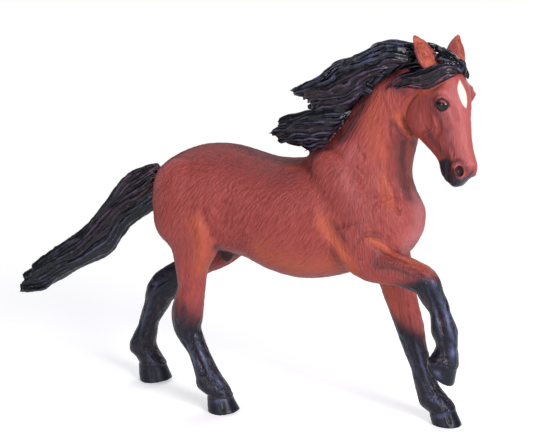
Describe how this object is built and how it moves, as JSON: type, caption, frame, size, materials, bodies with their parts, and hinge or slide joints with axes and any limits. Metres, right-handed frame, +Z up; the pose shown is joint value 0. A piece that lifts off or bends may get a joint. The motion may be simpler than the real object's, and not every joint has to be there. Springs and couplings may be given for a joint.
{
  "type": "toy horse",
  "caption": "Small moulded toy stallion in mid-stride, with a foreleg raised, the head turned to its right and the mane and tail blown back.",
  "frame": {"origin": "on the floor, under the middle of the figure's box", "axes": "+X to the front of the horse, +Y to its left, +Z up"},
  "size_m": [0.1582, 0.032, 0.115],
  "materials": {
    "coat": "satin reddish-brown bay paint on soft PVC",
    "hair": "satin black paint with dark brown dry-brushing",
    "legs": "bay paint shaded into satin black points"
  },
  "bodies": {
    "root": {"body_right_half": "coat", "body_left_half": "coat", "head": "coat", "mane": "hair", "forelock": "hair", "tail": "hair", "right_foreleg": "legs", "left_foreleg": "legs", "right_hind_leg": "legs", "left_hind_leg": "legs"}
  },
  "joints": []
}
